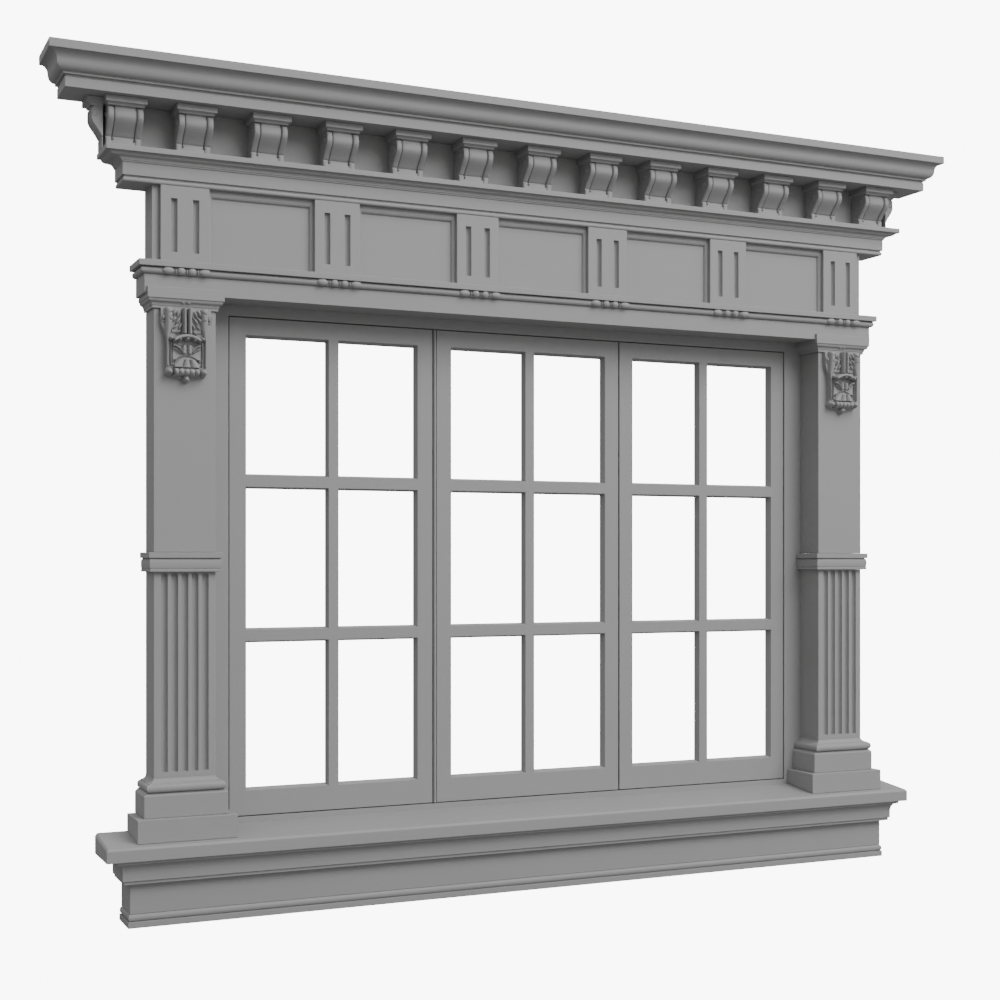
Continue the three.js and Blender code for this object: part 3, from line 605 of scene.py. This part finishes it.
for side in ("_left", "_right"):
    lower = extent("lower_plinth" + side)
    upright = profileOf([("line", 0, None)], lower["foot"], lower["top"])
    rings = mouldingRings(upright, lower, backFoot=sillSize["top"] + seatGap)
    rings = softened(rings, pilasterLook["softening"])
    addPiece("lower_plinth" + side + "_dressed", [shellOf(rings)], "across", ["lower_plinth" + side])
    bevel = pilasterLook["plinthBevel"]
    addMoulding("upper_plinth" + side, [("line", 0, None), ("line", -bevel, bevel)])
    addMoulding("base_moulding" + side, pilasterLook["base"])
    addFlutedShaft("fluted_shaft" + side)
    addMoulding("shaft_band" + side, pilasterLook["band"])
    addMoulding("upper_shaft" + side, [("line", 0, None)], "upright", pilasterLook["softening"])
    addCapital("capital" + side)
print("pilasters made")


# acanthus corbels

# Widths, then the heights of the forms in front of the corbel's back, then rows down from its top.
corbelLook = {
    "topWidth": 142, "waistWidth": 110, "ballWidth": 120, "dropWidth": 28,
    "ground": 15, "strap": 37, "scroll": 25, "panelFrame": 24, "stem": 40, "upperField": 19,
    "hood": 44, "hoodDrops": 42, "hoodCurl": 38, "lowerField": 20, "lowerLobes": 31, "leaf": 31,
    "secondLeaf": 28, "fan": 20, "fanRibs": 10, "archedLine": 14,
    "roll": 24, "gadroons": 11, "balls": 35, "drop": 26,
    "hoodRow": 77, "lineRow": 134, "rollRow": 177, "dropRow": 196,
}


# Half the corbel's width at a share v of the way down: wide scrolls at the top, a waist, the balls at
# the foot and the drop under them.
def corbelHalf(v, look=corbelLook):
    rails = look["topWidth"] + (look["waistWidth"] - look["topWidth"]) * blend(0.15, 0.46, v)
    full = rails + (look["ballWidth"] - look["waistWidth"]) * bump(v, 0.86, 0.05)
    withDrop = full - (full - look["dropWidth"]) * blend(0.9, 0.95, v)
    return withDrop / 2 * np.sqrt(np.clip(1 - (np.clip(v - 0.93, 0, 1) / 0.07) ** 2, 0.004, 1))


# A leaf's lobe: an oval dome of two half widths about a place, its long side turned by a tilt.
def lobe(side, q, place, halfWidths, tilt):
    across, down = side - place[0], q - place[1]
    turn = math.radians(tilt)
    along = across * math.cos(turn) + down * math.sin(turn)
    aside = down * math.cos(turn) - across * math.sin(turn)
    return ridge(np.hypot(along / halfWidths[0], aside / halfWidths[1]), 1)


# In the functions below p runs across from the corbel's middle, side is its size, and q runs down.

# The straps down both sides are round ridges that thin to rails at the waist, with a circle cut in the
# top of each. A dome with a ring cut in it is the scroll's disc on the flank, and a thin ridge that waves
# along a cosine is the panel's frame.
def corbelSides(p, q, look=corbelLook):
    side = np.abs(p)
    thin = blend(48, 92, q)
    height = look["strap"] - 11 * blend(10, 95, q)
    strap = ridge(side - 50.5 - 4 * thin, 11 - 6.5 * thin) ** 0.5 * height
    strap = strap * (1 - blend(160, 168, q)) * (0.85 + 0.15 * blend(0, 6, q))
    curl = np.hypot(side - 44, q - 24)
    strap = strap - 4 * bump(curl, 11, 1.6) * (1 - blend(50, 54, side))
    disc = np.hypot((side - 65) * 1.7, q - 27)
    flank = ridge(disc, 17) * look["scroll"] - 5 * bump(disc, 8, 2.2)
    wave = 43.5 + 1.5 * np.cos((q - 128) / 22)
    frameLine = ridge(side - wave, 2.2) * look["panelFrame"] * between(q, 92, 163)
    return np.maximum.reduce((strap, flank, frameLine))


# Two stems in the middle, and a ruffled leaf of overlapping lobes on each side of them. Each lobe is
# (place, half widths, tilt, height).
upperLobes = [
    ((35, 12), (13, 5.5), 60, 32), ((25, 16), (13, 5.0), 68, 30), ((36, 31), (12, 5.0), 50, 30),
    ((26, 36), (13, 5.0), 58, 31), ((19, 50), (13, 4.5), 64, 28), ((32, 51), (12, 4.5), 46, 28),
    ((23, 65), (10, 4.5), 40, 26), ((19, 26), (8, 4.0), 70, 27),
]


def corbelUpperLeaves(p, q, look=corbelLook):
    side = np.abs(p)
    stem = ridge(side - 7.5, 6) ** 0.6 * look["stem"] * (1 - blend(70, 76, q))
    field = between(side, 12, 44, 3) * between(q, -4, 72, 6) * look["upperField"]
    lobes = [
        lobe(side, q, place, halfWidths, tilt) ** 0.6 * height
        for place, halfWidths, tilt, height in upperLobes
    ]
    return np.maximum.reduce((stem, field, *lobes))


# The hood: a round ridge along a parabola, with three domes as drops along its lower edge and a small
# dome as the curl at each end.
def corbelHood(p, q, look=corbelLook):
    side = np.abs(p)
    row = look["hoodRow"]
    arch = ridge(q - row - 0.0095 * p**2, 6.5) ** 0.6 * look["hood"] * (1 - blend(36, 42, side))
    outerDrops = ridge(np.hypot(side - 21, q - row - 10), 6.5)
    middleDrop = ridge(np.hypot(p * 0.7, q - row - 8), 6)
    drops = np.maximum(outerDrops, middleDrop) ** 0.7 * look["hoodDrops"]
    curl = ridge(np.hypot(side - 45, q - row - 7), 7) ** 0.7 * look["hoodCurl"]
    return np.maximum.reduce((arch, drops, curl))


# Under the hood: a pair of lobes, two curved leaves on each side along parabolas, a deep arched line, and
# ribs below it that follow the cosine of the angle about one point.
def corbelLowerLeaves(p, q, look=corbelLook):
    side = np.abs(p)
    row = look["lineRow"]
    field = between(side, -9, 43, 4) * between(q, 98, 166, 8) * look["lowerField"]
    lobes = ridge(side - 8, 8) ** 0.7 * look["lowerLobes"] * between(q, 96, row - 1, 8)
    leafLine = 103 + 0.025 * (40 - side) ** 2
    leaf = ridge(q - leafLine, 4.4) ** 0.7 * look["leaf"] * between(side, 10, 41, 3)
    second = ridge(q - leafLine - 9.5, 3.6) ** 0.7 * look["secondLeaf"] * between(side, 15, 39, 3)
    turn = np.arctan2(side, np.clip(q - row + 22, 1, None))
    ribs = np.abs(np.cos(turn * 7)) ** 0.5
    inFan = between(q, row + 4, 168, 4) * (1 - blend(34, 40, side))
    fan = (look["fan"] + look["fanRibs"] * ribs) * inFan
    line = row + 0.012 * p**2
    cutIn = look["archedLine"] * bump(q, line, 1.8) * (1 - blend(34, 40, side))
    return np.maximum.reduce((field, lobes, leaf, second, fan)) - cutIn


# The foot: a round ridge with gadroons along it, between two balls, with a pointed drop under it.
def corbelFoot(p, q, look=corbelLook):
    side = np.abs(p)
    row, dropRow = look["rollRow"], look["dropRow"]
    gadroons = look["gadroons"] * ridge((p + 7.5) % 15 - 7.5, 7.8)
    roll = ridge(q - row, 12) ** 0.7 * (look["roll"] + gadroons) * (1 - blend(34, 38, side))
    balls = ridge(np.hypot(side - 48.5, q - row), 11.5) * look["balls"]
    point = (q - dropRow) * (0.9 + 0.25 * blend(dropRow, dropRow + 10, q))
    drop = ridge(np.hypot(p, point), 11) * look["drop"]
    return np.maximum.reduce((roll, balls, drop))


# The corbel: the highest of its forms at each point, over a ground that sinks towards the foot.
def addCorbel(node, look=corbelLook):
    size = extent(node)
    u, v = np.meshgrid(np.linspace(-1, 1, 145), np.linspace(1, 0, 241))
    p = u * corbelHalf(v)
    q = v * (size["top"] - size["foot"])
    forms = (corbelSides, corbelUpperLeaves, corbelHood, corbelLowerLeaves, corbelFoot)
    ground = look["ground"] * (1 - 0.6 * blend(165, 185, q))
    carved = np.maximum.reduce([form(p, q) for form in forms] + [ground])
    front = np.minimum(size["back"] + carved, size["front"])
    shell = fieldShell(size["middle"] + p, size["top"] - q, front, size["back"])
    addPiece(node + "_dressed", [shell], "carving", [node])


for side in ("_left", "_right"):
    addCorbel("acanthus_corbel" + side)
print("corbels made")


# entablature

entablatureLook = {
    "taenia": [("torus", 9, 19.7), ("line", 16, 0), ("line", 0, None)],
    "bed": [
        ("torus", 4, 11.7), ("line", 0, 5), ("line", 6, 0), ("line", 0, 36), ("line", 3, 0), ("line", 0, 4),
        ("line", 2, 0), ("cymaReversa", 13, 20, 34), ("line", 11, 0), ("line", 0, None),
    ],
    "crown": [
        ("line", 0, 5.7), ("line", 8, 0), ("line", 0, 7), ("line", 2, 0),
        ("cymaRecta", 36, None), ("line", 5, 0), ("line", 0, 24.5),
    ],
}
friezeLook = {"metopeDepth": 9, "cove": 11, "margin": 0.5, "triglyphs": 6, "arris": 1.5}
triglyphLook = {
    "grooveWidth": 18, "grooveDepth": 13, "grooveOffset": 31, "topMargin": 35, "footMargin": 29,
    "arris": 1.5,
}


# The frieze's face is sunk in five metopes: the depth rises along a quarter circle within a cove's
# width of the metope's top and sides, and runs straight down to the taenia.
def addFrieze(look=friezeLook):
    size = extent("frieze")
    x0, x1 = size["middle"] - size["half"], size["middle"] + size["half"]
    blocks = [extent(f"triglyph_{k + 1}") for k in range(look["triglyphs"])]
    lefts = np.array([block["middle"] + block["half"] + look["margin"] for block in blocks[:-1]])
    rights = np.array([block["middle"] - block["half"] - look["margin"] for block in blocks[1:]])
    cove = look["cove"]
    run = cove * np.sin(np.linspace(0, quarterTurn, 8))
    coves = np.concatenate((lefts[:, None] + run, rights[:, None] - run))
    columns = stops(edgeStops(x0, x1, look["arris"]), coves.ravel())
    high = size["top"] - cove
    rows = stops([size["foot"], size["top"]], high - run)
    x, z = np.meshgrid(columns, rows)
    fromSide = np.max(np.minimum(x[..., None] - lefts, rights - x[..., None]), -1)
    away = np.clip(np.minimum(fromSide, high - z) / cove, 0, 1)
    sunk = look["metopeDepth"] * (1 - np.sqrt(1 - away**2))
    front = size["front"] - sunk - edgeFall(np.minimum(x - x0, x1 - x), look["arris"])
    addPiece("frieze_dressed", [fieldShell(x, z, front, 0)], "across", ["frieze"])


# A triglyph: two grooves with flat ends, each a half circle across.
def addTriglyph(node, look=triglyphLook):
    size = extent(node)
    x0, x1 = size["middle"] - size["half"], size["middle"] + size["half"]
    centres = size["middle"] + np.array([-1, 1]) * look["grooveOffset"]
    across = look["grooveWidth"] / 2 * np.sin(np.linspace(-quarterTurn, quarterTurn, 15))
    columns = stops(edgeStops(x0, x1, look["arris"]), (centres[:, None] + across[None, :]).ravel())
    low, high = size["foot"] + look["footMargin"], size["top"] - look["topMargin"]
    endRun = np.array([0, 0.5, 1.0])
    rows = stops([size["foot"], size["top"]], low + endRun, high - endRun)
    x, z = np.meshgrid(columns, rows)
    away = np.min(np.abs(x[..., None] - centres), -1) / (look["grooveWidth"] / 2)
    hollow = np.sqrt(np.clip(1 - away**2, 0, 1)) * look["grooveDepth"]
    inside = np.clip(np.minimum(z - low, high - z) / 0.5, 0, 1)
    front = size["front"] - hollow * inside - edgeFall(np.minimum(x - x0, x1 - x), look["arris"])
    addPiece(node + "_dressed", [fieldShell(x, z, front, size["back"])], "upright", [node])


# A row of turned beads on the torus under each triglyph: a long drop at each end, then beads parted by
# thin reels. Each entry is (distance from the middle, half length, radius).
beadLook = {
    "eggs": [(0, 2.5, 8.5), (15.5, 12.5, 11.5), (31, 2.5, 8.5), (52, 18, 11)],
    "forward": 8,
    "height": 10,
}


def beadShells(middle, size, look=beadLook):
    axisFront = extent("architrave")["front"] + look["forward"]
    axisHeight = size["foot"] + look["height"]
    shells = []
    for centre, halfLength, radius in look["eggs"]:
        for place in sorted({centre, -centre}):
            profile = eggProfile(place, halfLength, radius)
            shells.append(turned(profile, (middle, -axisFront, axisHeight)))
    return shells


def addTaenia(node):
    size = extent(node)
    profile = profileOf(entablatureLook["taenia"], size["foot"], size["top"])
    shells = [shellOf(softened(mouldingRings(profile, size), 1.6))]
    for k in range(friezeLook["triglyphs"]):
        shells += beadShells(extent(f"triglyph_{k + 1}")["middle"], size)
    addPiece(node + "_dressed", shells, "across", [node])


addMoulding("architrave", [("line", 0, None)])
addTaenia("taenia_moulding")
addFrieze()
for k in range(friezeLook["triglyphs"]):
    addTriglyph(f"triglyph_{k + 1}")
addMoulding("bed_moulding", entablatureLook["bed"])
addMoulding("modillion_course", [("line", 0, None)])
addMoulding("corona", [("line", 0, None)])
addMoulding("crown_moulding", entablatureLook["crown"])
print("entablature made")


# brackets

bracketLook = {
    "count": 13, "capOverhang": 8, "capHeight": 24, "capFillet": 17, "capLip": 3,
    "capBelly": 11, "bellyRoll": 5, "rollHeight": 20,
    "ribWidth": 17, "ribHeight": 3, "ribCrown": 2.5, "ribRound": 8, "fieldCrown": 2,
    "footHeight": 34, "footEase": 6, "footFront": 46, "throat": 4, "sweepTop": 92,
    "softening": 2, "groove": 5, "grooveAside": 1.8, "grooveWidth": 1.5, "hole": 2.4,
    "eye": 7.5, "eyeForward": 0.62, "eyeDrop": 22,
}
sideBracketLook = dict(
    bracketLook, capBelly=12, bellyRoll=1, ribHeight=2, footHeight=28, footFront=4.5, throat=1,
    sweepTop=87, groove=2,
)

# The eye's button and its hollow, as (out from the flank, share of its radius).
eyeProfile = np.array(
    [(-1, 1), (0.8, 1), (1.6, 0.9), (1.8, 0.8), (1.2, 0.68), (0.3, 0.5), (0.1, 0.3), (0, 0.02)]
)


# A bracket about its own middle: x across, the reach forward of its back, and z up from its foot. The
# reach is the foot block, then an S from the throat to the belly: three parts smooth step to one part
# quarter circle. The belly rolls back under the cap. A rib stands along each edge, with a groove inside
# it that ends in a drilled hole, and each flank has an eye.
def bracketShells(half, front, height, look):
    capFoot = height - look["capHeight"]
    footHeight, sweepTop = look["footHeight"], look["sweepTop"]
    sweepFoot = footHeight + look["footEase"]
    throat = look["footFront"] - look["throat"]
    belly = front - look["capBelly"]
    ribWidth, aside, arris = look["ribWidth"], look["grooveAside"], look["softening"]
    groovePlace = ribWidth + aside
    rows = stops(
        [0, 0.5, 1.2, 2.2, footHeight - 12, capFoot + 1.5],
        capFoot - np.array([20, 17, 14, 12, 10, 8.5, 7, 6, 5, 3.5, 2.5]),
        np.linspace(footHeight - 8, footHeight + 4, 13),
        np.linspace(sweepFoot, sweepTop, 25),
    )
    inward = stops(
        [0, 0.3, 1, 2, 3.5, ribWidth / 2, ribWidth - 3, ribWidth - 1, ribWidth, ribWidth + 6],
        np.linspace(groovePlace - aside, groovePlace + aside, 7),
        [half - 12, half - 5, half],
    )
    across = np.concatenate((inward - half, (half - inward[:-1])[::-1]))
    x, z = np.meshgrid(across, rows)
    side = half - np.abs(x)
    fall = throat + look["throat"] * (1 - blend(footHeight, sweepFoot, z))
    rise = np.clip((z - sweepFoot) / (sweepTop - sweepFoot), 0, 1)
    swell = 0.75 * rise * rise * (3 - 2 * rise) + 0.25 * np.sqrt(1 - (1 - rise) ** 2)
    reach = np.where(z < sweepFoot, fall, throat + (belly - throat) * swell)
    reach = reach - look["bellyRoll"] * blend(capFoot - look["rollHeight"], capFoot, z)

    onRib = 1 - blend(ribWidth - 1, ribWidth, side)
    field = look["ribHeight"] * (1 - onRib) * (0.35 + 0.65 * blend(6, footHeight + 4, z))
    ribCrown = look["ribCrown"] * (side - ribWidth / 2) ** 2 / (ribWidth / 2) ** 2 * onRib
    fieldCrown = look["fieldCrown"] * (x / (half - ribWidth)) ** 2 * (1 - onRib)
    grooveRun = blend(footHeight - 4, footHeight + 2, z)
    groove = look["groove"] * bump(side, groovePlace, look["grooveWidth"]) * grooveRun
    fromHole = np.hypot(side - groovePlace, z - footHeight + 2)
    hole = 2 * look["groove"] * bump(fromHole, 0, look["hole"])
    ribRound = look["ribRound"]
    ribTop = edgeFall(np.clip(capFoot - 1 - z, 0, ribRound), ribRound) * onRib
    relief = field + ribCrown + fieldCrown + np.maximum(groove, hole) + ribTop
    relief = relief + edgeFall(side, arris) + edgeFall(z, arris)
    body = fieldShell(x, z, np.maximum(reach - relief, 0.5), 0)

    over, lip = look["capOverhang"], look["capLip"]
    coveHeight = look["capHeight"] - look["capFillet"]
    cove = ("cavetto", look["capBelly"] - lip, coveHeight, over - lip - 1)
    capProfile = profileOf([cove, ("line", lip, 0), ("line", 0, None)], capFoot, height)
    capSize = {"middle": 0, "half": half + over, "front": front}
    cap = softened(mouldingRings(capProfile, capSize, capInset=2), 1.2)

    eye = eyeProfile * np.array([1, look["eye"]])
    forward, up = belly * look["eyeForward"], capFoot - look["eyeDrop"]
    right = turned(eye, (half, -forward, up))
    left = turned(eye[::-1] * np.array([-1, 1]), (-half, -forward, up))
    return [body, shellOf(cap), right, left]


# A bracket in its node's place: facing forward, or swung to face the right (turn 1) or left (turn -1).
def addBracket(node, look, turn=0):
    low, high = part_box(node)
    size = extent(node)
    across = (high.y - low.y) / 2 / mm if turn else size["half"]
    front = size["half"] * 2 if turn else size["front"] - size["back"]
    shells = bracketShells(across - look["capOverhang"], front, size["top"] - size["foot"], look)
    if turn:
        back = size["middle"] - turn * size["half"]
        midY = (low.y + high.y) / 2 / mm
        place = np.array([back, midY, size["foot"]])
        swing = np.array([[0, turn, 0], [-turn, 0, 0], [0, 0, 1]])
    else:
        place = np.array([size["middle"], -size["back"], size["foot"]])
        swing = np.eye(3)
    shells = [(points @ swing + place, faces) for points, faces in shells]
    addPiece(node + "_dressed", shells, "carving", [node])


for k in range(bracketLook["count"]):
    addBracket(f"modillion_{k + 1}", bracketLook)
addBracket("side_modillion_left", sideBracketLook, turn=-1)
addBracket("side_modillion_right", sideBracketLook, turn=1)
print("brackets made")


# stage, lights and camera

stageLook = {
    "pale": 9, "skyTop": 0.95, "skyFoot": 0.2, "skyLow": -0.4,
    "floorShade": 0.2, "floorDrop": 2, "floorReach": 40,
}
cameraLook = {"lens": 56.53, "place": (-2.1595, -4.4949, 0.9422), "yaw": 24.6, "shiftUp": 0.0587}
lightAim = (0, 0, 1.2)
lightLook = {
    "key": {"place": (3.4, -6.6, 7.6), "size": 6.5, "power": 870},
    "fill": {"place": (2.5, -9.0, 1.0), "size": 6.0, "power": 70},
}


# The floor and the world look the same pale white to the camera. For light, the world is a soft dome
# that is bright overhead and dim below, and the floor is dark.
def addStage(look=stageLook):
    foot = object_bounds()[0].z - look["floorDrop"] * mm
    reach = look["floorReach"]
    corners = [(-reach, -reach, foot), (reach, -reach, foot), (reach, reach, foot), (-reach, reach, foot)]
    mesh = bpy.data.meshes.new("floor")
    mesh.from_pydata(corners, [], [(0, 1, 2, 3)])
    floor = bpy.data.objects.new("floor", mesh)
    bpy.context.scene.collection.objects.link(floor)
    material = bpy.data.materials.new("pale_floor")
    material.use_nodes = True
    tree = material.node_tree
    tree.nodes["Principled BSDF"].inputs["Base Color"].default_value = (look["floorShade"],) * 3 + (1,)
    glow = addNode(tree, "ShaderNodeEmission", Strength=1.0)
    glow.inputs["Color"].default_value = (look["pale"],) * 3 + (1,)
    seen = addNode(tree, "ShaderNodeLightPath")
    mix = addNode(tree, "ShaderNodeMixShader")
    tree.links.new(seen.outputs["Is Camera Ray"], mix.inputs[0])
    tree.links.new(tree.nodes["Principled BSDF"].outputs[0], mix.inputs[1])
    tree.links.new(glow.outputs[0], mix.inputs[2])
    tree.links.new(mix.outputs[0], tree.nodes["Material Output"].inputs["Surface"])
    mesh.materials.append(material)

    world = bpy.data.worlds.new("studio")
    bpy.context.scene.world = world
    world.use_nodes = True
    tree = world.node_tree
    background = tree.nodes["Background"]
    background.inputs["Color"].default_value = (1, 1, 1, 1)
    seen = addNode(tree, "ShaderNodeLightPath")
    direction = addNode(tree, "ShaderNodeTexCoord")
    split = addNode(tree, "ShaderNodeSeparateXYZ")
    tree.links.new(direction.outputs["Generated"], split.inputs[0])
    dome = addNode(tree, "ShaderNodeMapRange")
    dome.inputs["From Min"].default_value = look["skyLow"]
    dome.inputs["From Max"].default_value = 1.0
    dome.inputs["To Min"].default_value = look["skyFoot"]
    dome.inputs["To Max"].default_value = look["skyTop"]
    tree.links.new(split.outputs["Z"], dome.inputs["Value"])
    level = addNode(tree, "ShaderNodeMapRange")
    level.inputs["To Max"].default_value = look["pale"]
    tree.links.new(dome.outputs["Result"], level.inputs["To Min"])
    tree.links.new(seen.outputs["Is Camera Ray"], level.inputs["Value"])
    tree.links.new(level.outputs["Result"], background.inputs["Strength"])


# A square soft box that faces the middle of the window.
def addLight(name, place, size, power):
    lamp = bpy.data.lights.new(name, "AREA")
    lamp.size = size
    lamp.energy = power
    light = bpy.data.objects.new(name, lamp)
    light.location = place
    aim = np.array(lightAim) - np.array(place)
    light.rotation_mode = "XYZ"
    light.rotation_euler = (
        math.acos(-aim[2] / np.linalg.norm(aim)), 0, math.atan2(aim[1], aim[0]) - quarterTurn,
    )
    bpy.context.scene.collection.objects.link(light)


def addCamera(look=cameraLook):
    lens = bpy.data.cameras.new("camera")
    lens.lens = look["lens"]
    lens.sensor_width = 36
    lens.shift_y = look["shiftUp"]
    camera = bpy.data.objects.new("camera", lens)
    camera.location = look["place"]
    camera.rotation_euler = (quarterTurn, 0, -math.radians(look["yaw"]))
    bpy.context.scene.collection.objects.link(camera)
    bpy.context.scene.camera = camera


addStage()
for name, light in lightLook.items():
    addLight(name, light["place"], light["size"], light["power"])
addCamera()
print("stage, lights and camera made")
